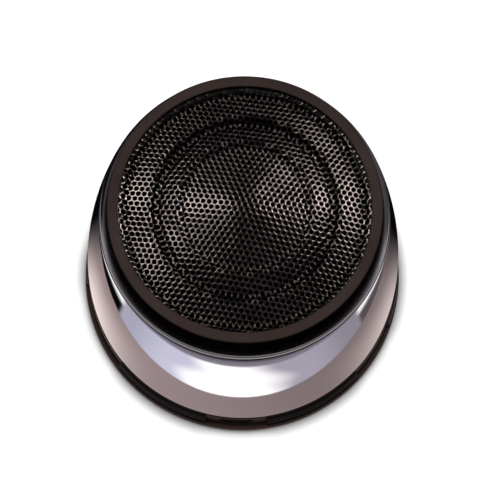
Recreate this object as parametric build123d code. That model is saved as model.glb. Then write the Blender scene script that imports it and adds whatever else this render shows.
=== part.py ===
"""Surface-mount car tweeter pod: a one-inch dome driver, a polished barrel and a twist-lock base.

Millimetres. +Z is the turning axis and points out through the grille. The origin is the centre of
the face that rests on the dash. -Y is the front of the pod, where the two long grip pads meet.
"""

import os
from math import cos, radians, sin, tan

from build123d import *

# Driving dimensions of the outside
top_z = 49.0  # flat top of the bezel
bezel_top_r = 22.0
bezel_foot_r = 23.43
bezel_height = 4.55
opening_r = 20.24  # mouth that shows the grille
shell_top_z = 43.9
shell_seam_z = 8.4  # lower edge of the barrel
shell_top_r = 23.55
shell_middle_r = 26.4
shell_middle_z = 28.1
shell_seam_r = 28.2
ring_foot_r = 29.35
ring_foot_z = 0.5
pad_r = 29.15

# Driver, from the one-inch voice coil outwards
coil_r = 12.5  # inside of the coil former
driver_r = 21.0
seat_z = 41.1  # face that the driver's faceplate is screwed to
faceplate_thickness = 1.6
motor_r = 17.0
top_plate_height = 2.5
magnet_height = 5.5
back_plate_height = 3.2
pole_r = 11.95
vent_r = 2.5
dome_base_z = 41.8
dome_height = 3.4

# Walls, sheets and gaps
wall = 1.8
sheet = 0.5
body_gap = 0.35  # air between pieces that move against each other
screw_gap = 0.02

# Twist-lock base
pad_foam_height = 1.0
base_plate_r = 24.3
base_plate_top_z = 3.2
floor_top_z = 4.8
floor_r = 26.4
neck_r = 25.4
ring_inner_r = 26.8
lug_angle = 22.0
lug_count = 3
dash_hole_r = 1.75
dash_hole_circle_r = 14.5
cable_hole_r = 7.0
cable_r = 1.75
raised_floor_z = 6.0
raised_floor_r = 18.2
floor_sheet = 1.4
floor_screw_circle_r = 21.6

# Crossover
board_z = 15.0
board_thickness = 1.6
board_length = 30.0
board_width = 22.0
board_screw_x = 12.5
board_screw_y = 8.5

# Worked out from the above
bezel_foot_z = top_z - bezel_height
lip_z = top_z - 1.1
bezel_bore_r = driver_r + 0.25
spigot_r = bezel_bore_r + 0.85
spigot_foot_z = 41.6
faceplate_top_z = seat_z + faceplate_thickness
top_plate_z = seat_z - top_plate_height
magnet_z = top_plate_z - magnet_height
back_plate_z = magnet_z - back_plate_height
gap_outer_r = coil_r + 0.9
magnet_inner_r = gap_outer_r + 0.8
former_r = coil_r + 0.1
ledge_r = motor_r + 0.8
ledge_height = 4.5
driver_screw_circle_r = 19.4
board_top_z = board_z + board_thickness
raised_floor_top_z = raised_floor_z + floor_sheet
grip_length = 38.5  # degrees
index_grip_length = 16.0
grip_pitch = 60.0


def at(radius, height):
    """A point of a turned outline."""
    return (radius, 0, height)


def turned(*corners):
    """Revolve a closed outline of (radius, height) corners about the pod's axis."""
    return revolve(make_face(Polyline(*[at(*corner) for corner in corners], close=True)), Axis.Z)


def tube(inner_r, outer_r, low_z, high_z):
    return turned((inner_r, low_z), (outer_r, low_z), (outer_r, high_z), (inner_r, high_z))


def drum(radius, low_z, high_z, x=0.0, y=0.0):
    """An upright cylinder between two heights."""
    height = high_z - low_z
    return Pos(x, y, (low_z + high_z) / 2) * Cylinder(radius, height)


def block(low, high):
    """A box between two corners."""
    size = [b - a for a, b in zip(low, high)]
    middle = [(a + b) / 2 for a, b in zip(low, high)]
    return Pos(*middle) * Box(*size)


def around(count, radius, first_angle):
    """Places (x, y) spaced evenly on a circle."""
    angles = [radians(first_angle + 360 / count * i) for i in range(count)]
    return [(radius * cos(a), radius * sin(a)) for a in angles]


def turned_part(corners, middle_angle, length):
    """An outline of (radius, height) corners turned through `length` degrees about its middle."""
    outline = Polyline(*[at(r, z) for r, z in corners], close=True)
    start = Rot(0, 0, middle_angle - length / 2)
    return start * revolve(make_face(outline), Axis.Z, length)


def sector(inner_r, outer_r, low_z, high_z, middle_angle, length):
    """A piece of tube, `length` degrees long."""
    corners = [(inner_r, low_z), (outer_r, low_z), (outer_r, high_z), (inner_r, high_z)]
    return turned_part(corners, middle_angle, length)


def circles_at(shape, height, radius):
    """The circular edges of a turned shape at one height and radius."""
    near = 0.01
    circles = shape.edges().filter_by(GeomType.CIRCLE)
    level = [e for e in circles if abs(e.center().Z - height) < near]
    return [e for e in level if abs(e.radius - radius) < near]


screws_driver = around(3, driver_screw_circle_r, 30)
screws_floor = around(3, floor_screw_circle_r, 30)
holes_dash = around(3, dash_hole_circle_r, 90)
board_sides = (-1, 1)
corners_board = [(x * board_screw_x, y * board_screw_y) for x in board_sides for y in board_sides]


def bezel_ring():
    """Conical ring with a flat top; its spigot drops inside the barrel."""
    ring = turned(
        (opening_r, lip_z),
        (opening_r, top_z),
        (bezel_top_r, top_z),
        (bezel_foot_r, bezel_foot_z),
        (spigot_r, bezel_foot_z),
        (spigot_r, spigot_foot_z),
        (bezel_bore_r, spigot_foot_z),
        (bezel_bore_r, lip_z),
    )
    ring = fillet(circles_at(ring, top_z, bezel_top_r), 0.25)
    ring = fillet(circles_at(ring, top_z, opening_r), 0.3)
    return fillet(circles_at(ring, bezel_foot_z, bezel_foot_r), 0.3)


# Relief of the grille's upper face: (radius, drop below the bezel's top), then a cone to the middle
relief = [(21.2, 1.1), (19.95, 1.1), (19.2, 2.05)]
relief += [(15.2, 0.7), (14.3, 2.0), (13.5, 1.35), (11.0, 0.25), (10.1, 1.0)]
cone_slope = radians(15.2)
apex_r = 2.5  # the cone's tip is a ball that meets the cone here


def cap_arc(rim_r, rim_z, crown_z):
    """Outline of a spherical cap, from its rim to its crown on the axis."""
    rise = crown_z - rim_z
    ball_r = (rim_r**2 + rise**2) / (2 * rise)
    half_r = rim_r / 2
    half_z = crown_z - ball_r + (ball_r**2 - half_r**2) ** 0.5
    return ThreePointArc(at(rim_r, rim_z), at(half_r, half_z), at(0, crown_z))


def grille():
    """Pressed steel disc with two raised rings and a low cone, one sheet thick."""
    cone_foot_r, cone_foot_drop = relief[-1]
    apex_rise = (cone_foot_r - apex_r) * tan(cone_slope) - cone_foot_drop
    crown_rise = apex_rise + apex_r * tan(cone_slope / 2)
    edges = []
    for level in (top_z, top_z - sheet):
        corners = [at(r, level - drop) for r, drop in relief] + [at(apex_r, level + apex_rise)]
        tip = cap_arc(apex_r, level + apex_rise, level + crown_rise)
        edges.append([*Polyline(*corners).edges(), tip])
    upper, lower = edges
    axis_line = Line(at(0, top_z + crown_rise), at(0, top_z + crown_rise - sheet))
    rim_r, rim_drop = relief[0]
    rim_line = Line(at(rim_r, top_z - rim_drop), at(rim_r, top_z - rim_drop - sheet))
    outline = Wire([*upper, axis_line, *reversed(lower), rim_line])
    return revolve(Face(outline), Axis.Z)


def barrel_arc(inset, low_z, high_z):
    """The barrel's outline between two heights, moved in by `inset`."""
    high, middle = at(shell_top_r, shell_top_z), at(shell_middle_r, shell_middle_z)
    whole = ThreePointArc(high, middle, at(shell_seam_r, shell_seam_z))
    centre = whole.arc_center
    radius = whole.radius - inset

    def on_arc(height):
        return at(centre.X + (radius**2 - (height - centre.Z) ** 2) ** 0.5, height)

    return ThreePointArc(on_arc(high_z), on_arc((low_z + high_z) / 2), on_arc(low_z))


def body_shell():
    """Barrel with a driver ledge inside its mouth and a neck under its lower edge."""
    neck_inner_r = neck_r - wall
    ledge_z = seat_z - ledge_height
    web_z = shell_seam_z + wall
    outer = barrel_arc(0, shell_seam_z, shell_top_z)
    inner = barrel_arc(wall, web_z, ledge_z)
    mouth = Polyline(
        outer @ 0,
        at(spigot_r, shell_top_z),
        at(spigot_r, seat_z),
        at(ledge_r, seat_z),
        at(ledge_r, ledge_z),
        inner @ 0,
    )
    neck = Polyline(
        outer @ 1,
        at(neck_r, shell_seam_z),
        at(neck_r, floor_top_z),
        at(neck_inner_r, floor_top_z),
        at(neck_inner_r, web_z),
        inner @ 1,
    )
    shell = revolve(make_face([outer, inner, *mouth.edges(), *neck.edges()]), Axis.Z)
    shell = fillet(circles_at(shell, shell_top_z, shell_top_r), 1.3)
    shell = fillet(circles_at(shell, shell_seam_z, shell_seam_r), 0.4)
    for x, y in screws_floor:
        boss = drum(2.2, floor_top_z, 12.0, x, y) & drum(neck_r - 0.2, floor_top_z, 12.0)
        shell += boss
        shell -= drum(1.1 + screw_gap, floor_top_z - 1, 10.5, x, y)
    for x, y in screws_driver:
        shell -= drum(0.9 + screw_gap, seat_z - 4.2, seat_z + 1, x, y)
    return shell - block((-5.6, 15, seat_z - 6), (5.6, 20.2, seat_z + 1))


def faceplate():
    """Ring that holds the driver together; the surround is glued on its inner step."""
    step_z = dome_base_z - 0.2
    plate_bore_r = 14.6
    plate = turned(
        (plate_bore_r, seat_z),
        (driver_r, seat_z),
        (driver_r, faceplate_top_z),
        (16.4, faceplate_top_z),
        (15.9, step_z),
        (plate_bore_r, step_z),
    )
    for x, y in screws_driver:
        plate -= drum(1.0, seat_z - 1, faceplate_top_z + 1, x, y)
        plate -= drum(1.75, faceplate_top_z - 0.9, faceplate_top_z + 1, x, y)
    return plate


def screws(places, head_r, shaft_r, head, tip_z):
    """Pan-head screws; `head` holds the z of its slotted face and of its underside."""
    face_z, under_z = head
    made = []
    for x, y in places:
        low, high = sorted((face_z, under_z))
        screw = drum(head_r, low, high, x, y)
        screw += drum(shaft_r, *sorted((under_z, tip_z)), x, y)
        toward = 1 if face_z > under_z else -1
        cut = 0.35
        slot_low, slot_high = sorted((face_z, face_z - toward * cut))
        for long_x, long_y in ((head_r * 0.6, 0.2), (0.2, head_r * 0.6)):
            screw -= block((x - long_x, y - long_y, slot_low), (x + long_x, y + long_y, slot_high))
        made.append(screw)
    return Compound(children=made)


def surround():
    """Half-roll of thin coated cloth between the dome and the faceplate."""
    z = dome_base_z
    outer = ThreePointArc(at(former_r, z), at(13.7, z + 0.9), at(14.8, z))
    inner = ThreePointArc(at(former_r + 0.2, z - 0.2), at(13.7, z + 0.7), at(14.6, z - 0.2))
    foot = Line(at(former_r, z), at(former_r, z - 0.2))
    sole = Line(at(former_r, z - 0.2), at(former_r + 0.2, z - 0.2))
    flange = Polyline(at(14.8, z), at(15.8, z), at(15.8, z - 0.2), at(14.6, z - 0.2))
    return revolve(make_face([outer, inner, foot, sole, *flange.edges()]), Axis.Z)


def dome_diaphragm():
    """Thin spherical cap on the end of the coil former."""
    z = dome_base_z
    thickness = 0.25
    crown_z = z + dome_height
    rim_inner_r = former_r - thickness
    edges = [cap_arc(former_r, z, crown_z), cap_arc(rim_inner_r, z, crown_z - thickness)]
    edges += [Line(at(0, crown_z), at(0, crown_z - thickness))]
    edges += [Line(at(former_r, z), at(rim_inner_r, z))]
    return revolve(make_face(edges), Axis.Z)


def yoke():
    """Back plate and vented pole piece in one turned steel part."""
    return turned(
        (vent_r, back_plate_z),
        (motor_r, back_plate_z),
        (motor_r, magnet_z),
        (pole_r, magnet_z),
        (pole_r, seat_z),
        (vent_r, seat_z),
    )


def copper_cap():
    """Thin cap pressed over the pole to lower the coil's inductance."""
    return turned(
        (vent_r, seat_z),
        (pole_r, seat_z),
        (pole_r, seat_z - 3),
        (pole_r + 0.2, seat_z - 3),
        (pole_r + 0.2, seat_z + 0.2),
        (vent_r, seat_z + 0.2),
    )


tab_x = 3.0
strip_y = 18.0
strip_depth = 1.2
tab_y = strip_y + strip_depth
tab_foot_z = 30.5


def terminal_strip():
    return block((-5, strip_y, 34), (5, tab_y, seat_z))


def terminal_tabs():
    half_width, thickness = 1.2, 0.6
    tabs = []
    for x in (-tab_x, tab_x):
        tabs.append(block((x - half_width, tab_y, tab_foot_z), (x + half_width, tab_y + thickness, 36)))
    return Compound(children=tabs)


def lead(side):
    """Insulated wire from a driver tab down to its pad on the crossover board."""
    wire_r = 0.55
    tab_end = (side * tab_x, tab_y + 0.3, tab_foot_z)
    pad = (side * 2.5, 10.0, board_top_z)
    below_tab = (side * tab_x, tab_y + 0.3, 24.5)
    above_pad = (pad[0], pad[1], 21.0)
    path = FilletPolyline(tab_end, below_tab, above_pad, pad, radius=1.8)
    start = Plane(origin=tab_end, z_dir=(0, 0, -1))
    return sweep(start * Circle(wire_r), path=path)


def chamber_damping():
    """Felt liner against the inside of the barrel, behind the driver."""
    low_z, high_z = 16.0, 35.5
    outer = barrel_arc(wall + 0.2, low_z, high_z)
    inside = Polyline(outer @ 0, at(21.0, high_z), at(21.0, low_z), outer @ 1)
    return revolve(make_face([outer, *inside.edges()]), Axis.Z)


def crossover_board():
    half_length, half_width = board_length / 2, board_width / 2
    board = block((-half_length, -half_width, board_z), (half_length, half_width, board_top_z))
    board = fillet(board.edges().filter_by(Axis.Z), 2)
    for x, y in corners_board:
        board -= drum(1.1, board_z - 1, board_top_z + 1, x, y)
    return board


def crossover_capacitor():
    """Bipolar capacitor lying on the board, with the crimp groove near one end."""
    can_r, can_length = 4.0, 14.0
    lying = Pos(0, -6.0, board_top_z + can_r) * Rot(0, 90, 0)
    groove = Pos(0, 0, 5) * (Cylinder(can_r + 1, 0.8) - Cylinder(can_r - 0.5, 0.8))
    return lying * (Cylinder(can_r, can_length) - groove)


def crossover_inductor():
    """Air-cored coil between two bobbin cheeks."""
    coil = tube(2.0, 3.9, board_top_z + 0.8, board_top_z + 5.2)
    cheeks = [tube(2.0, 4.6, z, z + 0.8) for z in (board_top_z, board_top_z + 5.2)]
    return Pos(-8.0, 3.8, 0) * (coil + cheeks)


def level_resistor():
    body = block((1.5, 2, board_top_z), (10, 7, board_top_z + 5))
    return fillet(body.edges().filter_by(Axis.Z), 0.6)


def input_terminal_block():
    """Two-way screw terminal under the board, its wire mouths facing the cable inlet."""
    low_z = board_z - 6
    body = block((-5, 3, low_z), (5, 10, board_z))
    for x in (-2.5, 2.5):
        body -= Pos(x, 4.5, low_z + 2) * Rot(90, 0, 0) * Cylinder(1.1, 5)
        body -= drum(1.4, low_z - 1, low_z + 0.8, x, 7.5)
    return body


def chamber_floor():
    """Lid of the chamber: traps the lock ring and carries the board's pillars."""
    floor = turned(
        (4.0, raised_floor_z),
        (raised_floor_r, raised_floor_z),
        (raised_floor_r, base_plate_top_z),
        (floor_r, base_plate_top_z),
        (floor_r, floor_top_z),
        (raised_floor_r + 1.0, floor_top_z),
        (raised_floor_r, raised_floor_top_z),
        (4.0, raised_floor_top_z),
    )
    for x, y in screws_floor:
        floor -= drum(1.3, 0, 10, x, y)
        floor -= drum(2.1, 0, base_plate_top_z + 0.95, x, y)
    for x, y in corners_board:
        pillar = drum(2.2, raised_floor_top_z, board_z, x, y)
        floor += pillar
        floor -= drum(0.9 + screw_gap, board_z - 5, board_z + 1, x, y)
    return floor


def cable_grommet():
    """Rubber bush in the floor, with the waist that snaps into its hole."""
    return turned(
        (cable_r, raised_floor_z - 1.4),
        (5.4, raised_floor_z - 1.4),
        (5.4, raised_floor_z),
        (4.0, raised_floor_z),
        (4.0, raised_floor_top_z),
        (5.0, raised_floor_top_z),
        (4.6, raised_floor_top_z + 1.2),
        (cable_r, raised_floor_top_z + 1.2),
    )


lock_rib_z = floor_top_z + body_gap
lock_rib_top_z = 7.95
lock_wall_top_z = 8.1
washer_z = lock_rib_top_z + 0.05
ring_wall_r = 28.3
lip_height = 0.8


def lock_ring():
    """Knurl-free twist ring: a rib above the floor's rim holds it, three tabs hook the base plate."""
    ring = turned(
        (ring_inner_r, ring_foot_z),
        (ring_foot_r, ring_foot_z),
        (ring_foot_r, ring_foot_z + lip_height),
        (ring_wall_r + 0.1, ring_foot_z + lip_height + 0.5),
        (ring_wall_r, lock_wall_top_z),
        (ring_inner_r, lock_wall_top_z),
        (ring_inner_r, lock_rib_top_z),
        (neck_r + body_gap, lock_rib_top_z),
        (neck_r + body_gap, lock_rib_z),
        (ring_inner_r, lock_rib_z),
    )
    for i in range(lug_count):
        angle = 360 / lug_count * i
        ring += sector(base_plate_r + 0.45, ring_inner_r + 0.1, 1.15, 1.75, angle, lug_angle)
    notch = sector(ring_wall_r - 0.7, ring_foot_r + 1, 2.6, 6.4, -90, 11)
    return ring - notch


def grip(middle_angle, length):
    """One rubber grip pad: its upper half leans in towards the ring's wall, above a groove."""
    back_r = ring_wall_r + 0.1
    low_z, groove_z, high_z = 1.85, 3.6, 7.4
    groove_half, groove_depth = 0.4, 0.35
    corners = [
        (back_r, low_z),
        (pad_r, low_z),
        (pad_r, groove_z - groove_half),
        (pad_r - groove_depth, groove_z - groove_half),
        (pad_r - groove_depth, groove_z + groove_half),
        (pad_r - 0.15, groove_z + groove_half),
        (back_r + 0.1, high_z),
        (back_r, high_z),
    ]
    return turned_part(corners, middle_angle, length)


def grip_pads():
    """Five long pads and a short one that marks the unlocking side."""
    first = -90 + grip_pitch / 2
    angles = [first + grip_pitch * i for i in range(6)]
    unlocking_angle = 180
    pads = []
    for angle in angles:
        shorter = abs(angle - unlocking_angle) < 1
        pads.append(grip(angle, index_grip_length if shorter else grip_length))
    return Compound(children=pads)


def base_plate():
    """Plate screwed to the dash, with three lugs that the lock ring hooks under."""
    plate = tube(cable_hole_r, base_plate_r, pad_foam_height, base_plate_top_z)
    for i in range(lug_count):
        angle = 360 / lug_count * i
        plate += sector(base_plate_r - 0.5, 25.8, 2.1, base_plate_top_z, angle, lug_angle)
    for x, y in holes_dash:
        plate -= drum(dash_hole_r, 0, base_plate_top_z + 1, x, y)
    return plate


def mounting_pad():
    """Foam pad between the base plate and the dash."""
    pad = tube(cable_hole_r + 1, base_plate_r - 0.8, 0, pad_foam_height)
    for x, y in holes_dash:
        pad -= drum(dash_hole_r + 0.5, -1, pad_foam_height + 1, x, y)
    return pad


faceplate_screw_head = (faceplate_top_z - 0.1, faceplate_top_z - 0.9)
board_screw_head = (board_top_z + 1.1, board_top_z)
floor_screw_head = (base_plate_top_z + 0.05, base_plate_top_z + 0.95)

nodes = {
    "bezel_ring": bezel_ring(),
    "grille": grille(),
    "grille_spacer": tube(20.0, driver_r + 0.2, lip_z - sheet - 1.2, lip_z - sheet),
    "dust_cloth": drum(driver_r + 0.2, lip_z - sheet - 1.5, lip_z - sheet - 1.2),
    "grille_clip_ring": tube(20.2, driver_r + 0.2, faceplate_top_z, lip_z - sheet - 1.5),
    "bezel_gasket": tube(bezel_bore_r, spigot_r, seat_z, spigot_foot_z),
    "body_shell": body_shell(),
    "driver_faceplate": faceplate(),
    "faceplate_screws": screws(screws_driver, 1.65, 0.9, faceplate_screw_head, seat_z - 4),
    "surround": surround(),
    "dome_diaphragm": dome_diaphragm(),
    "coil_former": tube(coil_r, former_r, dome_base_z - 4.1, dome_base_z),
    "voice_coil": tube(former_r, former_r + 0.45, top_plate_z + 0.35, seat_z - 0.35),
    "top_plate": tube(gap_outer_r, motor_r, top_plate_z, seat_z),
    "magnet_ring": tube(magnet_inner_r, motor_r, magnet_z, top_plate_z),
    "yoke": yoke(),
    "copper_cap": copper_cap(),
    "pole_felt": tube(vent_r, 8.5, seat_z + 0.2, seat_z + 1.2),
    "terminal_strip": terminal_strip(),
    "terminal_tabs": terminal_tabs(),
    "lead_positive": lead(1),
    "lead_negative": lead(-1),
    "chamber_damping": chamber_damping(),
    "crossover_board": crossover_board(),
    "crossover_capacitor": crossover_capacitor(),
    "crossover_inductor": crossover_inductor(),
    "level_resistor": level_resistor(),
    "input_terminal_block": input_terminal_block(),
    "board_screws": screws(corners_board, 1.7, 0.9, board_screw_head, board_z - 4.5),
    "chamber_floor": chamber_floor(),
    "floor_screws": screws(screws_floor, 2.0, 1.1, floor_screw_head, 10.0),
    "cable_grommet": cable_grommet(),
    "friction_washer": tube(neck_r + 0.1, ring_inner_r - 0.2, washer_z, shell_seam_z),
    "lock_ring": lock_ring(),
    "grip_pads": grip_pads(),
    "base_plate": base_plate(),
    "mounting_pad": mounting_pad(),
}

os.makedirs("parts", exist_ok=True)
for name, shape in nodes.items():
    export_step(shape, f"parts/{name}.step")
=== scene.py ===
# %% [markdown]
# # A surface-mount car tweeter
# The engineering model already holds every part at its real size. This lesson gives the pod its
# looks: the punched grille, the polished barrel, the rubber grips, and a small photo studio.
# The first cell loads that model as a fixed frame, and everything that follows is placed from it.

# %% Load the frame
from math import cos, pi, radians, sin, tan

import bmesh
import bpy
import numpy as np
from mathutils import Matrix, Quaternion, Vector


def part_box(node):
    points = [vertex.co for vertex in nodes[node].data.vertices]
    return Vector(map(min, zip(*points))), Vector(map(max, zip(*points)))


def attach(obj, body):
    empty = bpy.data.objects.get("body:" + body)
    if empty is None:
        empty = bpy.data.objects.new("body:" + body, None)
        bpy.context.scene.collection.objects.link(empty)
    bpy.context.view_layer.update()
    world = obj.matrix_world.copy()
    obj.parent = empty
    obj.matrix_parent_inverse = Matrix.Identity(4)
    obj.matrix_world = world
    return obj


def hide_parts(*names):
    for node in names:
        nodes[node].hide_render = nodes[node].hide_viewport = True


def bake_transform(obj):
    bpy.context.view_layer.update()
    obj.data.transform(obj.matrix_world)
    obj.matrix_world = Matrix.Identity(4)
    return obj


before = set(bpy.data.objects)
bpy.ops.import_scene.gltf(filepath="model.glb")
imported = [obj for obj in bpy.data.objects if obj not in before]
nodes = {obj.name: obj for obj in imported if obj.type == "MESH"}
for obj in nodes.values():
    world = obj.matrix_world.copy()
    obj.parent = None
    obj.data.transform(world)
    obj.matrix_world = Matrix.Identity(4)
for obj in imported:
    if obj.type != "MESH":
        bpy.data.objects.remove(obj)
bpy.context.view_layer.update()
mm = 0.001

# %% [markdown]
# ## Grids and turned shapes
# Nearly everything on a loudspeaker pod is turned on a lathe or pressed from a disc, so a piece is
# an outline of (radius, height) points carried round the axis. The points make a grid, and a grid
# needs only one rule for its faces: each joins a point, its neighbours, and the one diagonal to it.
# Whole numpy arrays do this at once, which is quicker than placing vertices one at a time.


# %% Mesh helpers
def grid_faces(rows, columns, wrap_rows=True):
    """Four corners of each face of a grid whose columns close on themselves; the rows may too."""
    row = np.arange(rows if wrap_rows else rows - 1)[:, None]
    column = np.arange(columns)[None, :]
    next_row, next_column = (row + 1) % rows, (column + 1) % columns
    corners = [row * columns + column, row * columns + next_column]
    corners += [next_row * columns + next_column, next_row * columns + column]
    return np.stack(np.broadcast_arrays(*corners), axis=-1).reshape(-1, 4)


def piece(name, points, faces, sharp_angle=35.0, merge=0.0):
    """A mesh object from an array of points and an array of four-cornered faces.

    Doubles closer than `merge` metres are joined, normals are turned outwards, and edges that bend
    by more than `sharp_angle` degrees stay crisp while the rest is shaded smooth.
    """
    mesh = bpy.data.meshes.new(name)
    mesh.vertices.add(len(points))
    mesh.vertices.foreach_set("co", np.asarray(points, float).ravel())
    mesh.loops.add(faces.size)
    mesh.loops.foreach_set("vertex_index", faces.ravel())
    mesh.polygons.add(len(faces))
    mesh.polygons.foreach_set("loop_start", np.arange(0, faces.size, 4))
    mesh.update(calc_edges=True)
    work = bmesh.new()
    work.from_mesh(mesh)
    if merge:
        bmesh.ops.remove_doubles(work, verts=work.verts, dist=merge)
        bmesh.ops.dissolve_degenerate(work, edges=work.edges, dist=merge)
    bmesh.ops.recalc_face_normals(work, faces=work.faces)
    work.to_mesh(mesh)
    work.free()
    mesh.polygons.foreach_set("use_smooth", np.ones(len(mesh.polygons), bool))
    mesh.set_sharp_from_angle(angle=radians(sharp_angle))
    made = bpy.data.objects.new(name, mesh)
    bpy.context.scene.collection.objects.link(made)
    print(name, "faces:", len(mesh.polygons))
    return made


def rounded(corners, radii, steps=6):
    """Closed outline through the corners, each one cut by an arc of its own radius.

    The arc's centre lies on the corner's bisector at radius / sin(half the corner's angle), and its
    points are the two touching directions blended evenly and pushed out to the radius.
    """
    corners = np.asarray(corners, float)
    outline = []
    corners_before, corners_after = np.roll(corners, 1, 0), np.roll(corners, -1, 0)
    for before, here, after, radius in zip(corners_before, corners, corners_after, radii):
        if radius == 0:
            outline.append(here[None])
            continue
        back = (before - here) / np.linalg.norm(before - here)
        on = (after - here) / np.linalg.norm(after - here)
        half = np.arccos(np.clip(back @ on, -1, 1)) / 2
        bisector = (back + on) / np.linalg.norm(back + on)
        centre = here + bisector * radius / sin(half)
        first = here + back * radius / tan(half) - centre
        last = here + on * radius / tan(half) - centre
        blend = np.linspace(0, 1, steps)[:, None]
        arc = first * (1 - blend) + last * blend
        outline.append(centre + arc / np.linalg.norm(arc, axis=1, keepdims=True) * radius)
    return np.concatenate(outline)


def turned_points(outline, columns):
    """Each (radius, height) of the outline goes to (radius cos a, radius sin a, height)."""
    angle = np.arange(columns) * 2 * pi / columns
    radius, height = outline[:, 0, None], outline[:, 1, None]
    grid = np.stack([radius * np.cos(angle), radius * np.sin(angle), height + 0 * angle], axis=-1)
    return grid.reshape(-1, 3)


def turned(name, outline, columns=240, sharp_angle=35.0):
    """The closed outline carried once round the axis, as one object."""
    points = turned_points(outline, columns)
    return piece(name, points, grid_faces(len(outline), columns), sharp_angle)


# %% [markdown]
# ## Finishes
# A real surface is never one flat colour. Each finish below starts from a plain shader and adds
# three small variations, all read from the object's own coordinates: patches of colour, patches of
# roughness, and a fine bump. The size of the grain, in millimetres, is what tells plastic from felt.


# %% Finish helpers
def new_finish(name, metallic, specular=0.5):
    """A material with a lone Principled shader, and the handles needed to build on it."""
    material = bpy.data.materials.new(name)
    material.use_nodes = True
    tree = material.node_tree
    shader = tree.nodes["Principled BSDF"]
    shader.inputs["Metallic"].default_value = metallic
    shader.inputs["Specular IOR Level"].default_value = specular
    place = tree.nodes.new("ShaderNodeTexCoord").outputs["Object"]
    return material, tree, shader, place


def speckle(tree, place, grain_mm, detail=3.0, stretch=(1, 1, 1)):
    """Noise whose blotches are about `grain_mm` across; stretch above 1 shortens it along that axis."""
    mapping = tree.nodes.new("ShaderNodeMapping")
    mapping.inputs["Scale"].default_value = stretch
    noise = tree.nodes.new("ShaderNodeTexNoise")
    noise.inputs["Scale"].default_value = 1 / (grain_mm * mm)
    noise.inputs["Detail"].default_value = detail
    tree.links.new(place, mapping.inputs["Vector"])
    tree.links.new(mapping.outputs["Vector"], noise.inputs["Vector"])
    return noise.outputs["Fac"]


def shade(tree, value, dark, light, low=0.3, high=0.7):
    """Colour that goes from dark to light as the value goes from low to high."""
    ramp = tree.nodes.new("ShaderNodeValToRGB")
    ramp.color_ramp.elements[0].position = low
    ramp.color_ramp.elements[1].position = high
    ramp.color_ramp.elements[0].color = (*dark, 1)
    ramp.color_ramp.elements[1].color = (*light, 1)
    tree.links.new(value, ramp.inputs["Fac"])
    return ramp.outputs["Color"]


def spread(tree, value, low, high):
    """The value, mostly between 0.3 and 0.7, stretched to run from low to high."""
    spreader = tree.nodes.new("ShaderNodeMapRange")
    spreader.inputs["From Min"].default_value = 0.3
    spreader.inputs["From Max"].default_value = 0.7
    spreader.inputs["To Min"].default_value = low
    spreader.inputs["To Max"].default_value = high
    tree.links.new(value, spreader.inputs["Value"])
    return spreader.outputs["Result"]


def raise_bump(tree, shader, value, height_mm):
    """Tilts the shading normal as if the surface rose by `height_mm` where the value is 1."""
    bump = tree.nodes.new("ShaderNodeBump")
    bump.inputs["Strength"].default_value = 1.0
    bump.inputs["Distance"].default_value = height_mm * mm
    tree.links.new(value, bump.inputs["Height"])
    tree.links.new(bump.outputs["Normal"], shader.inputs["Normal"])


def grained(name, dark, light, rough, grain_mm, bump_mm, metallic=0.0, specular=0.5, patch_mm=6.0,
            stretch=(1, 1, 1)):
    """The common finish: broad patches of colour, finer patches of roughness and a grain in relief."""
    material, tree, shader, place = new_finish(name, metallic, specular)
    patches = speckle(tree, place, patch_mm)
    grain = speckle(tree, place, grain_mm, 2.0, stretch)
    tree.links.new(shade(tree, patches, dark, light), shader.inputs["Base Color"])
    tree.links.new(spread(tree, grain, *rough), shader.inputs["Roughness"])
    raise_bump(tree, shader, grain, bump_mm)
    return material


def woven(name, dark, light, thread_mm, bump_mm, specular=0.3):
    """Cloth: two sets of waves at right angles, multiplied, stand for threads over and under."""
    material, tree, shader, place = new_finish(name, 0.0, specular)
    waves = []
    for direction in ("X", "Y"):
        wave = tree.nodes.new("ShaderNodeTexWave")
        wave.bands_direction = direction
        wave.inputs["Scale"].default_value = 1 / (thread_mm * mm) / pi
        wave.inputs["Distortion"].default_value = 0.4
        tree.links.new(place, wave.inputs["Vector"])
        waves.append(wave.outputs["Fac"])
    weave = tree.nodes.new("ShaderNodeMath")
    weave.operation = "MULTIPLY"
    tree.links.new(waves[0], weave.inputs[0])
    tree.links.new(waves[1], weave.inputs[1])
    tree.links.new(shade(tree, weave.outputs[0], dark, light, 0.1, 0.8), shader.inputs["Base Color"])
    tree.links.new(spread(tree, speckle(tree, place, 0.5), 0.75, 0.95), shader.inputs["Roughness"])
    raise_bump(tree, shader, weave.outputs[0], bump_mm)
    return material


def wound_wire_painted_highlight(name, dark, light, wire_mm, axis="Z"):
    """Enamelled wire laid turn by turn: bands along the axis, a painted highlight on each crown."""
    material, tree, shader, place = new_finish(name, 1.0)
    wave = tree.nodes.new("ShaderNodeTexWave")
    wave.bands_direction = axis
    wave.inputs["Scale"].default_value = 1 / (wire_mm * mm) / pi
    tree.links.new(place, wave.inputs["Vector"])
    # the lighter colour on each turn's crown is a painted highlight, the darker colour between turns painted
    # shade
    colour = shade(tree, wave.outputs["Fac"], dark, light, 0.1, 0.9)
    tree.links.new(colour, shader.inputs["Base Color"])
    tree.links.new(spread(tree, speckle(tree, place, 0.4), 0.25, 0.45), shader.inputs["Roughness"])
    raise_bump(tree, shader, wave.outputs["Fac"], wire_mm / 4)
    return material


def wear(node_name, material):
    """Gives a node of the engineering model its finish, without touching its mesh."""
    slots = nodes[node_name].material_slots
    for slot in slots:
        slot.material = material
    if not slots:
        nodes[node_name].data.materials.append(material)


def stand_for(made, node_name, body, material):
    """The new piece takes over from a node: same body and same material, and the node is hidden."""
    made.data.materials.append(material)
    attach(made, body)
    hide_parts(node_name)


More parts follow.
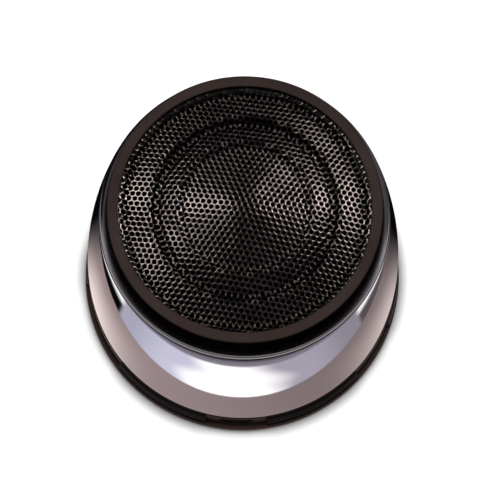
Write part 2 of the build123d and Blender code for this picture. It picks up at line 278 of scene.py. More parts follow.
# %% [markdown]
# ## Bezel
# The bezel is a turned ring with a flat top and a skirt that widens downwards. It is anodised and
# lightly blasted, so it is nearly black but keeps a soft brown sheen. A thin bright line runs round
# any real machined edge, and it comes from rounding the edges a little, not from paint.

# %% Bezel
bezel_low, bezel_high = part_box("bezel_ring")
bezel_foot_r = bezel_high.x
bezel_top_z = bezel_high.z
bezel_top_r = 22.0 * mm
mouth_r = 20.24 * mm
bezel_foot_z = bezel_top_z - 4.55 * mm
lip_z = bezel_top_z - 1.1 * mm
bezel_bore_r = 21.25 * mm
spigot_r = 22.1 * mm

bezel_outline = rounded(
    [
        (mouth_r, lip_z),
        (mouth_r, bezel_top_z),
        (bezel_top_r, bezel_top_z),
        (bezel_foot_r + 0.1 * mm, bezel_foot_z),
        (spigot_r, bezel_foot_z),
        (spigot_r, bezel_low.z),
        (bezel_bore_r, bezel_low.z),
        (bezel_bore_r, lip_z),
    ],
    [0, 0.3 * mm, 0.25 * mm, 0.12 * mm, 0, 0.2 * mm, 0, 0],
)
anodised_brown = grained(
    "anodised_brown", (0.092, 0.064, 0.057), (0.12, 0.086, 0.077), rough=(0.1, 0.16),
    grain_mm=0.12, bump_mm=0.0006, metallic=1.0, patch_mm=9.0,
)
bezel = turned("bezel", bezel_outline, sharp_angle=50)
stand_for(bezel, "bezel_ring", "pod", anodised_brown)

# %% [markdown]
# ## Grille
# The grille is a steel disc, punched with a close pattern of round holes and then pressed, so its
# two rings and its cone carry the holes along. Each hole owns one six-sided cell. A cell is five
# loops of points: its border, the start of the rolled lip, the lip's foot, the hole's lower edge and
# the border's underside. The same twelve directions serve every cell, so one small array is copied
# to all the cells at once and then lifted by the pressed height at each point's own radius.

# %% Pressed height
cone_foot_r, cone_foot_drop, cone_slope = 10.1 * mm, 1.0 * mm, radians(15.2)
apex_r = 2.5 * mm
apex_ball_r = apex_r / sin(cone_slope)
relief_r = np.array([cone_foot_r / mm, 11.0, 13.5, 14.3, 15.2, 19.2, 19.95, 21.2]) * mm
relief_drop = np.array([cone_foot_drop / mm, 0.25, 1.35, 2.0, 0.7, 2.05, 1.1, 1.1]) * mm


def pressed_height(radius):
    """Height of the sheet's upper face: slopes between the rings, then a cone with a ball for its tip.

    The ball meets the cone without a crease, so its radius is the apex's radius / sin(slope).
    Averaging three heights a quarter of a millimetre apart rounds the bends, as a press does.
    """

    def sharp(r):
        """Height below or above the bezel's top, with creases: straight runs, a cone, then a ball."""
        rings = -np.interp(r, relief_r, relief_drop)
        cone = -cone_foot_drop + (cone_foot_r - r) * tan(cone_slope)
        touch = -cone_foot_drop + (cone_foot_r - apex_r) * tan(cone_slope)
        ball_middle = touch - apex_ball_r * cos(cone_slope)
        tip = ball_middle + np.sqrt(apex_ball_r**2 - np.minimum(r, apex_r) ** 2)
        return bezel_top_z + np.where(r > cone_foot_r, rings, np.where(r > apex_r, cone, tip))

    round_off = 0.25 * mm
    return (sharp(np.abs(radius - round_off)) + sharp(radius) + sharp(radius + round_off)) / 3


# %% [markdown]
# ## Holes
# The hole centres are whole steps along two directions sixty degrees apart, and only those whose cell
# stays inside the sheet's rim are kept. The border of a cell is nearer in its sides' directions,
# half the pitch, than in its corners' directions, the pitch over the square root of three. The steel
# is plated almost black: all its light comes from reflections, so it is metal with a tight gloss.

# %% Punched sheet
hole_pitch = 0.96 * mm
hole_r = 0.335 * mm
lip_width = 0.055 * mm
lip_drop = 0.06 * mm
sheet_thickness = 0.4 * mm
grille_rim_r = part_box("grille")[1].x
pattern_turn = radians(-6.2)
cell_columns = 12

reach = int(grille_rim_r / hole_pitch) * 2
step_a, step_b = np.meshgrid(np.arange(-reach, reach + 1), np.arange(-reach, reach + 1))
centre_x = (step_a + step_b / 2).ravel() * hole_pitch
centre_y = (step_b * 3**0.5 / 2).ravel() * hole_pitch
rim_margin = 0.62 * hole_pitch
kept = np.hypot(centre_x, centre_y) < grille_rim_r - rim_margin
centres = np.stack([centre_x[kept], centre_y[kept]], axis=-1)

direction = np.arange(cell_columns) * 2 * pi / cell_columns
border_r = np.where(np.arange(cell_columns) % 2 == 0, hole_pitch / 2, hole_pitch / 3**0.5)
edge_r = np.full(cell_columns, hole_r)
loops_r = np.stack([border_r, edge_r + lip_width, edge_r, edge_r, border_r])
loops_drop = np.array([0, 0, lip_drop, sheet_thickness, sheet_thickness])
cell = np.stack([loops_r * np.cos(direction), loops_r * np.sin(direction)], axis=-1)
flat = centres[:, None, None, :] + cell[None]
turn = np.array([[cos(pattern_turn), sin(pattern_turn)], [-sin(pattern_turn), cos(pattern_turn)]])
flat = flat @ turn
height = pressed_height(np.hypot(flat[..., 0], flat[..., 1])) - loops_drop[None, :, None]
sheet_points = np.concatenate([flat, height[..., None]], axis=-1).reshape(-1, 3)
cell_faces = grid_faces(len(loops_drop), cell_columns, wrap_rows=False)
first_points = np.arange(len(centres)) * len(loops_drop) * cell_columns
sheet_faces = (cell_faces[None] + first_points[:, None, None]).reshape(-1, 4)
print("holes:", len(centres))

pressed_steel = grained(
    "pressed_steel", (0.017, 0.0145, 0.0138), (0.029, 0.025, 0.0235), rough=(0.13, 0.2),
    grain_mm=0.25, bump_mm=0.003, metallic=1.0, patch_mm=2.0,
)
grille = piece("punched_grille", sheet_points, sheet_faces, sharp_angle=70, merge=0.004 * mm)
stand_for(grille, "grille", "pod", pressed_steel)

# %% [markdown]
# ## Barrel
# The barrel is drawn metal, plated and polished until it works as a mirror. A mirror shows every
# flaw in the mesh, so its outline is one true arc with many points, not a few straight runs, and
# only the shoulder under the bezel and the lower edge are rounded. The plating itself is simple:
# full metal, hardly any roughness, and a faint unevenness that keeps reflections from looking
# computed.

# %% Barrel
shell_low, shell_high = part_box("body_shell")
shell_top_z = shell_high.z
seam_z = 8.4 * mm
neck_r = 25.4 * mm
wall = 1.8 * mm
foot_r, middle_r, top_r = 28.2 * mm, 26.4 * mm, 23.55 * mm
middle_z = 28.1 * mm
throat_r, throat_z, ledge_z = 17.8 * mm, 36.6 * mm, 41.1 * mm


def circle_through(a, b, c):
    """Centre and radius of the circle through three points: the centre is as far from each."""
    rows = 2 * np.array([b - a, c - a])
    centre = np.linalg.solve(rows, [b @ b - a @ a, c @ c - a @ a])
    return centre, np.linalg.norm(a - centre)


arc_low, arc_high = np.array([foot_r, seam_z]), np.array([top_r, shell_top_z])
arc_centre, arc_r = circle_through(arc_low, np.array([middle_r, middle_z]), arc_high)


def barrel_r(z, inset=0.0):
    """Radius of the barrel at height z: the arc's centre plus the half-chord left at that height."""
    return arc_centre[0] + np.sqrt((arc_r - inset) ** 2 - (z - arc_centre[1]) ** 2)


outside_z = np.linspace(seam_z + 1.0 * mm, shell_top_z - 2.0 * mm, 90)
inside_z = np.linspace(throat_z, seam_z + wall, 24)
outer_arc = np.stack([barrel_r(outside_z), outside_z], axis=-1)
inner_arc = np.stack([barrel_r(inside_z, wall), inside_z], axis=-1)
mouth_corners = [
    (top_r, shell_top_z),
    (spigot_r, shell_top_z),
    (spigot_r, ledge_z),
    (throat_r, ledge_z),
    (throat_r, throat_z),
]
foot_corners = [
    (neck_r - wall, seam_z + wall),
    (neck_r - wall, shell_low.z),
    (neck_r, shell_low.z),
    (neck_r, seam_z),
    (foot_r, seam_z),
]
barrel_corners = np.concatenate([outer_arc, mouth_corners, inner_arc, foot_corners])
barrel_radii = np.zeros(len(barrel_corners))
barrel_radii[len(outer_arc)] = 1.3 * mm
barrel_radii[-1] = 0.4 * mm
barrel_outline = rounded(barrel_corners, barrel_radii, steps=14)
print("barrel arc radius in mm:", round(arc_r / mm, 1))

smoked_chrome = grained(
    "smoked_chrome", (0.86, 0.83, 0.84), (0.9, 0.875, 0.88), rough=(0.02, 0.045),
    grain_mm=1.5, bump_mm=0.0004, metallic=1.0, patch_mm=12.0,
)
barrel = turned("barrel", barrel_outline, columns=288)
stand_for(barrel, "body_shell", "pod", smoked_chrome)

# %% [markdown]
# ## Twist ring
# The ring at the foot turns to let go of the base plate. It is one moulding: a smooth outer wall, a
# thin lip at the bottom, a thumb notch at the front and, inside, a rib that keeps it on the barrel
# and three tabs. The notch and the tabs are gentle windows: a number that is 1 inside a stretch of
# the circle and 0 outside it pulls the outline's points in or out as it is carried round. The lip
# carries a painted reflection, a warmer brown than the wall, which fades out just above it.

# %% Twist ring
ring_low, ring_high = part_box("lock_ring")
ring_wall_r = 28.3 * mm
ring_bore_r = 26.8 * mm
wall_foot_r, wall_top_r = ring_wall_r + 0.1 * mm, ring_wall_r - 0.1 * mm
lip_height, lip_slope_z = ring_low.z + 0.8 * mm, ring_low.z + 1.3 * mm
rib_r, rib_low_z, rib_high_z = 25.75 * mm, 5.15 * mm, 7.95 * mm
tab_low_z, tab_high_z, tab_reach = 1.15 * mm, 1.75 * mm, 2.05 * mm
notch_z, notch_half, notch_depth = 4.5 * mm, 2.1 * mm, 0.7 * mm
ring_columns = 480
ring_angle = np.arange(ring_columns) * 2 * pi / ring_columns


def window(angle, middle, length, soft=0.01):
    """1 within half the length of the middle angle, 0 outside, with an eased edge `soft` wide."""
    away = np.abs((angle - middle + pi) % (2 * pi) - pi)
    edge = np.clip((length / 2 - away) / soft + 0.5, 0, 1)
    return edge * edge * (3 - 2 * edge)


wall_z = np.linspace(ring_low.z + 1.45 * mm, ring_high.z - 0.3 * mm, 24)
wall_r = np.linspace(wall_foot_r, ring_wall_r, 24)
lip_outline = rounded(
    [
        (ring_bore_r, ring_low.z),
        (ring_high.x, ring_low.z),
        (ring_high.x, lip_height),
        (wall_foot_r, lip_slope_z),
    ],
    [0, 0.2 * mm, 0.2 * mm, 0],
)
top_outline = [(wall_top_r, ring_high.z), (ring_bore_r, ring_high.z), (ring_bore_r, rib_high_z)]
rib_outline = [(rib_r, rib_high_z), (rib_r, rib_low_z), (ring_bore_r, rib_low_z)]
tab_outline = [(ring_bore_r, tab_high_z)] * 2 + [(ring_bore_r, tab_low_z)] * 2
wall_outline = np.stack([wall_r, wall_z], axis=-1)
ring_outline = np.concatenate([lip_outline, wall_outline, top_outline, rib_outline, tab_outline])

# %% Notch and tabs
# the notch is full depth over the middle three quarters of its height and slopes away beyond
notch_rows = (ring_outline[:, 0] > 28 * mm) & (ring_outline[:, 1] > ring_low.z + 1.4 * mm)
notch_share = np.clip(1 - np.abs(ring_outline[:, 1] - notch_z) / notch_half, 0, 0.25) * 4 * notch_rows
front_notch = window(ring_angle, -pi / 2, radians(11))
tab_rows = np.zeros(len(ring_outline))
tab_rows[-3:-1] = 1
tabs = sum(window(ring_angle, tab_angle, radians(22)) for tab_angle in (0, 2 * pi / 3, 4 * pi / 3))
ring_r = ring_outline[:, 0, None] - notch_depth * notch_share[:, None] * front_notch
ring_r = ring_r - tab_reach * tab_rows[:, None] * tabs
ring_z = ring_outline[:, 1, None] + 0 * ring_r
ring_points = np.stack([ring_r * np.cos(ring_angle), ring_r * np.sin(ring_angle), ring_z], axis=-1)
print("notch reaches in to mm:", round(float(ring_r[:, front_notch > 0.9][notch_rows].min()) / mm, 2))

# %% Ring finish
ring_gloss = grained(
    "ring_gloss", (0.002, 0.0012, 0.001), (0.004, 0.0024, 0.002), rough=(0.2, 0.3),
    grain_mm=0.12, bump_mm=0.001, specular=0.04, patch_mm=8.0,
)
# the share of the lip's painted brown reflection is 1 below 0.7 mm over the foot and falls to 0 at 1.3 mm
ring_tree = ring_gloss.node_tree
ring_shader = ring_tree.nodes["Principled BSDF"]
ring_height = ring_tree.nodes.new("ShaderNodeSeparateXYZ")
ring_place = ring_tree.nodes.new("ShaderNodeTexCoord").outputs["Object"]
ring_tree.links.new(ring_place, ring_height.inputs["Vector"])
lip_reflection_share = ring_tree.nodes.new("ShaderNodeMapRange")
lip_reflection_share.inputs["From Min"].default_value = lip_slope_z
lip_reflection_share.inputs["From Max"].default_value = ring_low.z + 0.7 * mm
ring_tree.links.new(ring_height.outputs["Z"], lip_reflection_share.inputs["Value"])
# a Mix node has sockets for each kind of value, and those for colours are 6 and 7 in and 2 out
lip_reflection_mix = ring_tree.nodes.new("ShaderNodeMix")
lip_reflection_mix.data_type = "RGBA"
# the warm brown of the lip's painted reflection
lip_reflection_mix.inputs[7].default_value = (0.034, 0.02, 0.017, 1)
ring_tree.links.new(lip_reflection_share.outputs["Result"], lip_reflection_mix.inputs["Factor"])
ring_tree.links.new(ring_shader.inputs["Base Color"].links[0].from_socket, lip_reflection_mix.inputs[6])
ring_tree.links.new(lip_reflection_mix.outputs[2], ring_shader.inputs["Base Color"])
ring_faces = grid_faces(len(ring_outline), ring_columns)
twist_ring = piece("twist_ring", ring_points.reshape(-1, 3), ring_faces, merge=0.001 * mm)
stand_for(twist_ring, "lock_ring", "twist_ring", ring_gloss)

# %% [markdown]
# ## Grip pads
# Six rubber pads sit in the ring's wall so that fingers can turn it. Each is a strip with a rounded
# section and a groove along it, carried round part of the circle, and it leans in towards the barrel
# as it rises. Its ends must close and look moulded, so the section shrinks there along a quarter
# circle and then closes flat. The pad at the left is a short one.

# %% Grip pads
pad_back_r = ring_wall_r + 0.1 * mm
pad_front_r = 29.15 * mm
pad_low_z, pad_high_z = 1.85 * mm, 7.4 * mm
pad_middle_z = 3.6 * mm
groove_half = 0.4 * mm
groove_r = pad_front_r - 0.35 * mm
slope_r = ring_wall_r + 0.2 * mm
pad_section = rounded(
    [
        (pad_back_r - 0.3 * mm, pad_low_z),
        (pad_front_r, pad_low_z),
        (pad_front_r, pad_middle_z - groove_half),
        (groove_r, pad_middle_z - groove_half * 0.6),
        (groove_r - 0.05 * mm, pad_middle_z + groove_half * 0.6),
        (pad_front_r - 0.15 * mm, pad_middle_z + groove_half),
        (slope_r, pad_high_z),
        (pad_back_r - 0.3 * mm, pad_high_z),
    ],
    [0.1 * mm, 0.35 * mm, 0.2 * mm, 0.05 * mm, 0.05 * mm, 0.2 * mm, 0.35 * mm, 0.1 * mm],
    steps=5,
)
section_middle = np.array([pad_back_r, pad_middle_z])


def grip_points(middle, length, stations=56, end_round=0.6 * mm):
    """One pad: its section, shrunk towards its middle by a quarter circle near each end, carried round.

    At a distance d from an end shorter than the rounding e, the section's size is 0.65 plus 0.35
    times the square root of 1 - (1 - d / e) squared. It is 1 between, and nothing at the very end.
    """
    half = length / 2 * pad_front_r
    even = np.linspace(-1, 1, stations)
    along = half * np.sin(even * pi / 2) * 0.5 + half * even * 0.5
    from_end = np.clip((half - np.abs(along)) / end_round, 0, 1)
    size = np.sqrt(np.clip(1 - (1 - from_end) ** 2, 0, 1)) * 0.35 + 0.65 * (from_end > 0)
    size = np.where(from_end <= 0, 1e-3, size)[:, None, None]
    section = section_middle + (pad_section - section_middle)[None] * size
    angle = (middle + along / pad_front_r)[:, None]
    x, y = section[..., 0] * np.cos(angle), section[..., 0] * np.sin(angle)
    return np.stack([x, y, section[..., 1]], axis=-1)


grip_middles = radians(-60) + np.arange(6) * pi / 3
long_grip, short_grip = radians(38.5), radians(16)
grip_lengths = [short_grip if abs(middle - pi) < 0.1 else long_grip for middle in grip_middles]
strips = np.stack([grip_points(middle, length) for middle, length in zip(grip_middles, grip_lengths)])
strip_faces = grid_faces(strips.shape[1], strips.shape[2], wrap_rows=False)
strip_size = strips.shape[1] * strips.shape[2]
pad_faces = np.concatenate([strip_faces + i * strip_size for i in range(len(strips))])

grip_rubber = grained(
    "grip_rubber", (0.0008, 0.0006, 0.0006), (0.0022, 0.0017, 0.0016), rough=(0.4, 0.55),
    grain_mm=0.15, bump_mm=0.004, specular=0.025, patch_mm=3.0,
)
grips = piece("finger_grips", strips.reshape(-1, 3), pad_faces, merge=0.003 * mm)
stand_for(grips, "grip_pads", "twist_ring", grip_rubber)

# %% [markdown]
# ## Finishes inside the pod
# The parts behind the grille keep their engineering meshes and only need finishes. Moulded plastic
# has a fine even grain, felt a coarse soft one, plated steel a bright one drawn out along its turning
# direction, and a coil shows its wire.
# Most of these finishes differ only in their numbers, so they are rows of a table. A row holds the
# name, the dark and the light colour, the roughness from smooth to dull, the size and the height of
# the grain in millimetres, and whatever else sets the finish apart.

# %% Inside finishes
lathe_lines, sheet_fibres = (1, 1, 8), (1, 1, 6)
finish_rows = [
    ("moulded_black", (0.012, 0.012, 0.013), (0.022, 0.022, 0.024), (0.45, 0.62), 0.2, 0.008, {}),
    ("soft_rubber", (0.008, 0.008, 0.008), (0.016, 0.015, 0.015), (0.6, 0.8), 0.25, 0.01, {}),
    ("pressed_felt", (0.05, 0.05, 0.052), (0.12, 0.12, 0.12), (0.9, 1.0), 0.5, 0.12,
     {"specular": 0.1, "patch_mm": 1.2}),
    ("closed_cell_foam", (0.012, 0.012, 0.012), (0.035, 0.035, 0.035), (0.8, 0.95), 0.35, 0.1,
     {"specular": 0.2, "patch_mm": 0.8}),
    ("zinc_plated_steel", (0.5, 0.5, 0.52), (0.66, 0.66, 0.66), (0.28, 0.42), 0.6, 0.002,
     {"metallic": 1.0, "patch_mm": 4.0, "stretch": lathe_lines}),
    ("nickel_plate", (0.6, 0.57, 0.52), (0.72, 0.69, 0.64), (0.15, 0.25), 0.8, 0.001, {"metallic": 1.0}),
    ("screw_steel", (0.4, 0.4, 0.42), (0.6, 0.6, 0.62), (0.25, 0.4), 0.15, 0.003,
     {"metallic": 1.0, "patch_mm": 1.0}),
    ("bright_copper", (0.7, 0.3, 0.16), (0.85, 0.42, 0.26), (0.2, 0.35), 0.4, 0.002,
     {"metallic": 1.0, "patch_mm": 3.0}),
    ("former_foil", (0.7, 0.7, 0.72), (0.82, 0.82, 0.84), (0.2, 0.35), 0.5, 0.004, {"metallic": 1.0}),
    ("tinned_brass", (0.6, 0.5, 0.3), (0.75, 0.66, 0.45), (0.25, 0.4), 0.3, 0.003, {"metallic": 1.0}),
    ("solder_mask", (0.006, 0.06, 0.02), (0.012, 0.1, 0.04), (0.2, 0.35), 0.9, 0.01, {"patch_mm": 3.0}),
    ("phenolic_sheet", (0.2, 0.1, 0.04), (0.34, 0.19, 0.08), (0.4, 0.6), 0.4, 0.01,
     {"patch_mm": 1.0, "stretch": sheet_fibres}),
    ("red_sleeve", (0.3, 0.008, 0.008), (0.45, 0.02, 0.015), (0.35, 0.5), 0.3, 0.003, {}),
    ("black_sleeve", (0.01, 0.01, 0.01), (0.02, 0.02, 0.02), (0.35, 0.5), 0.3, 0.003, {}),
    ("shrink_sleeve", (0.01, 0.03, 0.12), (0.02, 0.05, 0.2), (0.15, 0.3), 1.0, 0.01, {}),
    ("fired_cement", (0.55, 0.53, 0.48), (0.75, 0.73, 0.68), (0.8, 0.95), 0.3, 0.03, {"patch_mm": 1.5}),
    ("terminal_green", (0.012, 0.14, 0.04), (0.02, 0.2, 0.07), (0.4, 0.55), 0.25, 0.006, {}),
]
finishes = {}
for name, dark, light, rough, grain_mm, bump_mm, others in finish_rows:
    finishes[name] = grained(name, dark, light, rough, grain_mm, bump_mm, **others)
cloth_black = woven("dust_cloth_weave", (0.0002, 0.0002, 0.0002), (0.0008, 0.0007, 0.0007), 0.22, 0.04, 0.01)
silk = woven("coated_silk", (0.008, 0.008, 0.01), (0.02, 0.02, 0.025), 0.18, 0.015)
coil_wire = wound_wire_painted_highlight("coil_wire", (0.35, 0.12, 0.05), (0.8, 0.38, 0.22), 0.2)
outer_finishes = [anodised_brown, pressed_steel, smoked_chrome, ring_gloss, grip_rubber]
for material in [cloth_black, silk, coil_wire, *outer_finishes]:
    finishes[material.name] = material

# %% Who wears what
worn_by = {
    "moulded_black": ["grille_spacer", "grille_clip_ring", "driver_faceplate", "chamber_floor", "base_plate"],
    "soft_rubber": ["cable_grommet", "bezel_gasket"],
    "pressed_felt": ["pole_felt", "chamber_damping", "friction_washer"],
    "closed_cell_foam": ["mounting_pad"],
    "zinc_plated_steel": ["top_plate", "yoke"],
    "nickel_plate": ["magnet_ring"],
    "screw_steel": ["faceplate_screws", "board_screws", "floor_screws"],
    "bright_copper": ["copper_cap"],
    "former_foil": ["coil_former"],
    "tinned_brass": ["terminal_tabs"],
    "solder_mask": ["crossover_board"],
    "phenolic_sheet": ["terminal_strip"],
    "red_sleeve": ["lead_positive"],
    "black_sleeve": ["lead_negative"],
    "shrink_sleeve": ["crossover_capacitor"],
    "fired_cement": ["level_resistor"],
    "terminal_green": ["input_terminal_block"],
    "dust_cloth_weave": ["dust_cloth"],
    "coated_silk": ["dome_diaphragm", "surround"],
    "coil_wire": ["voice_coil", "crossover_inductor"],
    "anodised_brown": ["bezel_ring"],
    "pressed_steel": ["grille"],
    "smoked_chrome": ["body_shell"],
    "ring_gloss": ["lock_ring"],
    "grip_rubber": ["grip_pads"],
}
for finish_name, node_names in worn_by.items():
    for node_name in node_names:
        wear(node_name, finishes[finish_name])
print("finishes:", len(worn_by), "nodes finished:", sum(len(names) for names in worn_by.values()))

# %% [markdown]
# ## Surround
# The dome hangs in a half-roll of coated cloth, glued at its foot and free to breathe. Its foot stays
# with the pod and its crown goes along with the dome. It keeps a hair of air round the coil former,
# which slides past it.

# %% Surround
surround_low, surround_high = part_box("surround")
roll_cloth = 0.2 * mm
roll_foot_z, roll_z, roll_top_z = surround_low.z, surround_low.z + roll_cloth, surround_high.z
former_air = 0.03 * mm
roll_inner_r = 12.6 * mm + former_air
roll_outer_r, roll_middle_r = 14.8 * mm, 13.7 * mm


def roll_arc(inner_r, outer_r, foot_z, crown_z, steps=14):
    """Points on the circle through the two feet and the crown, from one foot to the other."""
    feet = np.array([[inner_r, foot_z], [outer_r, foot_z]])
    middle, radius = circle_through(feet[0], np.array([roll_middle_r, crown_z]), feet[1])
    ends = np.arctan2(feet[:, 1] - middle[1], feet[:, 0] - middle[0])
    angle = np.linspace(ends[0] + (2 * pi if ends[0] < 0 else 0), ends[1], steps)
    return np.stack([middle[0] + radius * np.cos(angle), middle[1] + radius * np.sin(angle)], axis=-1)


outer_roll = roll_arc(roll_inner_r, roll_outer_r, roll_z, roll_top_z)
inner_feet = (roll_inner_r + roll_cloth, roll_outer_r - roll_cloth)
inner_roll = roll_arc(*inner_feet, roll_foot_z, roll_top_z - roll_cloth)[::-1]
flange = [(surround_high.x, roll_z), (surround_high.x, roll_foot_z)]
roll_outline = np.concatenate([outer_roll, flange, inner_roll, [(roll_inner_r, roll_foot_z)]])
surround = turned("surround_roll", roll_outline, columns=160)
surround.data.materials.append(silk)
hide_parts("surround")
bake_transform(surround)

# %% [markdown]
# ## Camera
# A long lens from high up keeps the circles almost round. The camera is given by its distance from
# the middle of the grille, how far above the horizon it stands, the point it aims at and a small
# roll, because a hand-held frame is never quite level.

# %% Camera
top_centre = Vector((0, 0, bezel_top_z))
camera_distance = 264 * mm
camera_elevation = radians(74.72)
camera_roll = radians(3.22)
aim_point = top_centre + Vector((1.06, -7.07, 0)) * mm
lens_mm, sensor_mm = 119.2, 36

camera_data = bpy.data.cameras.new("studio_camera")
camera_data.lens = lens_mm
camera_data.sensor_width = sensor_mm
camera_data.clip_start, camera_data.clip_end = 0.01, 20
camera = bpy.data.objects.new("studio_camera", camera_data)
bpy.context.scene.collection.objects.link(camera)
camera.location = top_centre + camera_distance * Vector((0, -cos(camera_elevation), sin(camera_elevation)))
look = (aim_point - camera.location).to_track_quat("-Z", "Y")
camera.rotation_mode = "QUATERNION"
camera.rotation_quaternion = look @ Quaternion((0, 0, 1), camera_roll)
bpy.context.scene.camera = camera
print("camera at", [round(v, 3) for v in camera.location])

# %% [markdown]
# ## Studio
# The floor is plain white paper, lit by an even white sky. Such soft light leaves hardly any shadow,
# so the paper itself is made darker where the ring keeps light away from it: an ambient occlusion
# node gives 1 in the open and less in a corner. Reflections see another, darker sky, because a
# blank white one would turn the polished parts into paper as well.

# %% Floor and sky
floor_half = 3.0
contact_reach = 3.2 * mm
floor_mesh = bpy.data.meshes.new("studio_floor")
floor_corners = [(x * floor_half, y * floor_half, 0) for x, y in ((-1, -1), (1, -1), (1, 1), (-1, 1))]
floor_mesh.from_pydata(floor_corners, [], [(0, 1, 2, 3)])
floor = bpy.data.objects.new("studio_floor", floor_mesh)
bpy.context.scene.collection.objects.link(floor)
floor_paper, floor_tree, floor_shader, floor_place = new_finish("floor_paper", 0.0, 0.0)
contact = floor_tree.nodes.new("ShaderNodeAmbientOcclusion")
contact.inputs["Distance"].default_value = contact_reach
paper_shadow, paper_white = (0.14, 0.14, 0.145), (0.9, 0.9, 0.9)
paper_colour = shade(floor_tree, contact.outputs["AO"], paper_shadow, paper_white, 0.5, 0.92)
floor_tree.links.new(paper_colour, floor_shader.inputs["Base Color"])
paper_grain = spread(floor_tree, speckle(floor_tree, floor_place, 3.0), 0.8, 0.95)
floor_tree.links.new(paper_grain, floor_shader.inputs["Roughness"])
floor_mesh.materials.append(floor_paper)
floor.visible_glossy = False
print("floor", 2 * floor_half, "m wide, contact shade", round(contact_reach / mm, 1), "mm wide")

# %% Two skies
sky_light = 1.75
horizon, zenith = (0.03, 0.028, 0.03), (0.36, 0.35, 0.35)
world = bpy.data.worlds.new("studio_sky")
bpy.context.scene.world = world
world.use_nodes = True
sky = world.node_tree
plain = sky.nodes["Background"]
plain.inputs["Color"].default_value = (1, 1, 1, 1)
plain.inputs["Strength"].default_value = sky_light
mirrored = sky.nodes.new("ShaderNodeBackground")
upward = sky.nodes.new("ShaderNodeSeparateXYZ")
way = sky.nodes.new("ShaderNodeTexCoord")
sky.links.new(way.outputs["Generated"], upward.inputs["Vector"])
sky_colour = shade(sky, upward.outputs["Z"], horizon, zenith, 0.0, 1.0)
sky.links.new(sky_colour, mirrored.inputs["Color"])
chooser = sky.nodes.new("ShaderNodeMixShader")
ray_kind = sky.nodes.new("ShaderNodeLightPath")
sky.links.new(ray_kind.outputs["Is Glossy Ray"], chooser.inputs["Fac"])
sky.links.new(plain.outputs["Background"], chooser.inputs[1])
sky.links.new(mirrored.outputs["Background"], chooser.inputs[2])
sky.links.new(chooser.outputs["Shader"], sky.nodes["World Output"].inputs["Surface"])
print("sky light:", sky_light, "mirrored sky from", horizon, "to", zenith)

# %% [markdown]
# ## Reflection card
# Polished metal shows the room, so the room is part of the picture. The barrel mustn't mirror the
# blank floor, so a printed card lies just under it that only reflections can see: a brown-grey stand
# in the shape of an oval, a white sheet in front of it, dark flags at its sides, and darkness further
# out. A picture of a room could be used, but a card printed by formula is exact and needs no file.
# It is a polar grid, fine near the pod, whose points carry a colour worked out from their distance
# and direction. An emission shader then shows that colour as light.


# %% Card colours
def linear(red, green, blue):
    """Light that a screen shows as this 0 to 255 colour.

    Dark values are divided by 12.92. The others have 0.055 added, are divided by 1.055 and raised to
    the power 2.4.
    """
    screen = np.array([red, green, blue]) / 255
    return np.where(screen < 0.04045, screen / 12.92, ((screen + 0.055) / 1.055) ** 2.4)


def ease(value, low, high):
    """0 below low, 1 above high, and between them t squared times (3 - 2 t), t being the share."""
    t = np.clip((value - low) / (high - low), 0, 1)
    return (t * t * (3 - 2 * t))[..., None]


def mix(first, second, share):
    """The first value at share 0, the second at share 1, and evenly between."""
    return first * (1 - share) + second * share


near_brown, near_bright = linear(137, 122, 123), linear(215, 200, 197)
sheet_white = linear(255, 255, 255) * 1.15
sheet_left, sheet_right = linear(198, 198, 219), linear(165, 160, 174)
far_grey, darkness, streak = linear(128, 124, 137), linear(5, 4, 4), linear(240, 239, 242)
room_grey, grey_flag = linear(150, 148, 152), linear(84, 78, 80)

# %% Card layout
# distances from the axis where a tone begins to change and where it has changed; near_foot is
# negative because that tone changes inwards
stand_x, stand_y = 43.0 * mm, 37.2 * mm
bright_fades = (29 * mm, 42 * mm)
near_foot = (-31 * mm, -29 * mm)
sheet_narrows = (41 * mm, 48 * mm)
streak_begins = (45.0 * mm, 47 * mm)
sheet_ends, flag_ends = (49.5 * mm, 50.5 * mm), (49 * mm, 52 * mm)
far_grey_fades = (50 * mm, 58 * mm)
room_begins = (86 * mm, 170 * mm)


def card_light(radius, around):
    """Light of the card at a distance from the axis and an angle from the front, right positive.

    Frontness is the angle's cosine: 1 in front, 0 at the sides and -1 behind. Rightness is its sine.
    """
    frontness, to_right = np.cos(around), np.sin(around)
    rightness = ease(to_right, -0.35, 0.35)
    # the stand: brown, with painted light at its sides and close to the pod, painted shadow behind
    sideways = 1 - ease(frontness, 0.2, 0.85)
    stand = mix(near_brown, near_bright, sideways * (1 - ease(radius, *bright_fades)))
    stand = stand * mix(1.18, 0.82, ease(to_right, -0.7, 0.7))
    stand = stand * mix(1.0, 1.12, ease(-radius, *near_foot))
    stand = mix(darkness, stand, ease(frontness, -0.3, 0.18))
    # the sheet: white straight in front, tinted towards its sides, with a slightly wavy border
    side_tint = mix(sheet_left, sheet_right, rightness) * mix(0.68, 1.0, ease(frontness, 0.55, 0.87))
    narrowing = ease(radius, *sheet_narrows)[..., 0]
    waviness = 0.012 * np.sin(radius / mm * 0.7 + 6 * around)
    white_share = frontness + waviness - 0.035 * rightness[..., 0]
    sheet = mix(side_tint, sheet_white, ease(white_share, 0.84 + 0.06 * narrowing, 0.97 + 0.03 * narrowing))
    # the flags: dark at the left, grey at the right, with a bright streak along their outer edge
    streak_share = ease(radius, *streak_begins) * ease(frontness, -0.25, 0.05)
    flag = mix(mix(darkness, grey_flag, rightness), streak, streak_share)
    outer = mix(flag, sheet, ease(frontness, 0.42, 0.47))
    # beyond the sheet: grey, then darkness, then the room
    beyond = mix(far_grey, darkness, ease(radius, *far_grey_fades))
    in_front = ease(frontness, 0.3, 0.5)
    beyond_share = ease(radius, *sheet_ends) * in_front + (1 - in_front) * ease(radius, *flag_ends)
    outer = mix(outer, beyond, beyond_share)
    outer = mix(outer, room_grey, ease(radius, *room_begins))
    in_stand = np.hypot(radius * to_right / stand_x, radius * frontness / stand_y)
    return mix(stand, outer, ease(in_stand, 0.995, 1.005))


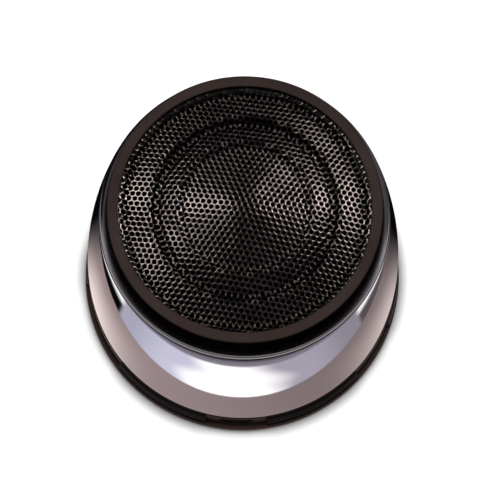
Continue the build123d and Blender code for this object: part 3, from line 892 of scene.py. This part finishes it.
# %% Reflection card
card_z = -0.2 * mm
card_columns = 360
card_r = np.concatenate([np.arange(24, 70, 0.2), np.geomspace(70, 2000, 60)]) * mm
card_rings = np.stack([card_r, np.full(len(card_r), card_z)], axis=-1)
card_grid = turned_points(card_rings, card_columns)
card = piece("reflection_card", card_grid, grid_faces(len(card_r), card_columns, wrap_rows=False))
card_distance = np.hypot(card_grid[:, 0], card_grid[:, 1])
card_colour = card_light(card_distance, np.arctan2(card_grid[:, 0], -card_grid[:, 1]))
opaque = np.ones((len(card_colour), 1))
painted = card.data.color_attributes.new("light", "FLOAT_COLOR", "POINT")
painted.data.foreach_set("color", np.concatenate([card_colour, opaque], axis=1).ravel())

# %% Card print
card_material = bpy.data.materials.new("card_print")
card_material.use_nodes = True
card_tree = card_material.node_tree
card_tree.nodes.clear()
card_glow = card_tree.nodes.new("ShaderNodeEmission")
card_paint = card_tree.nodes.new("ShaderNodeAttribute")
card_paint.attribute_name = "light"
card_end = card_tree.nodes.new("ShaderNodeOutputMaterial")
card_glow.inputs["Strength"].default_value = 1.12
card_tree.links.new(card_paint.outputs["Color"], card_glow.inputs["Color"])
card_tree.links.new(card_glow.outputs["Emission"], card_end.inputs["Surface"])
card.data.materials.append(card_material)
card.visible_camera = card.visible_diffuse = card.visible_shadow = card.visible_transmission = False
print("card light from", round(float(card_colour.min()), 3), "to", round(float(card_colour.max()), 3))

# %% [markdown]
# ## Lights
# The rings and the cone of the grille shine where their slope mirrors a light into the lens. So each
# soft box is placed from the slope it should light up: with n the slope's normal and v the direction
# to the camera, the mirrored direction is 2 (n . v) n - v. Only the grille receives these lights.


# %% Soft boxes
def soft_box(name, slope_degrees, facing_degrees, size, brightness, distance=0.45):
    """A rectangular light that a slope of this steepness, facing this way, mirrors to the camera.

    Facing is counted from the right, anticlockwise from above. The power of a rectangle that looks
    this bright is brightness * area * pi.
    """
    slope, facing = radians(slope_degrees), radians(facing_degrees)
    normal = Vector((sin(slope) * cos(facing), sin(slope) * sin(facing), cos(slope)))
    to_camera = (camera.location - top_centre).normalized()
    mirrored_way = 2 * normal.dot(to_camera) * normal - to_camera
    light = bpy.data.lights.new(name, "AREA")
    light.shape = "RECTANGLE"
    light.size, light.size_y = size
    light.energy = brightness * size[0] * size[1] * pi
    light.color = warm_white
    box = bpy.data.objects.new(name, light)
    bpy.context.scene.collection.objects.link(box)
    box.location = top_centre + distance * mirrored_way
    box.rotation_mode = "QUATERNION"
    box.rotation_quaternion = (-mirrored_way).to_track_quat("-Z", "Y")
    box.visible_diffuse = False
    box.light_linking.receiver_collection = grille_only
    print(name, "at", [round(v, 3) for v in box.location])


warm_white = (1.0, 0.96, 0.94)
grille_only = bpy.data.collections.new("grille_only")
grille_only.objects.link(grille)
soft_box("left_high_box", 19.5, 175, (0.09, 0.13), 82)
soft_box("right_high_box", 18.5, 46, (0.09, 0.1), 42)
soft_box("left_low_box", 24.5, 207, (0.1, 0.18), 40)
soft_box("right_low_box", 25, 8, (0.1, 0.24), 70)
bpy.context.scene.view_settings.view_transform = "Standard"
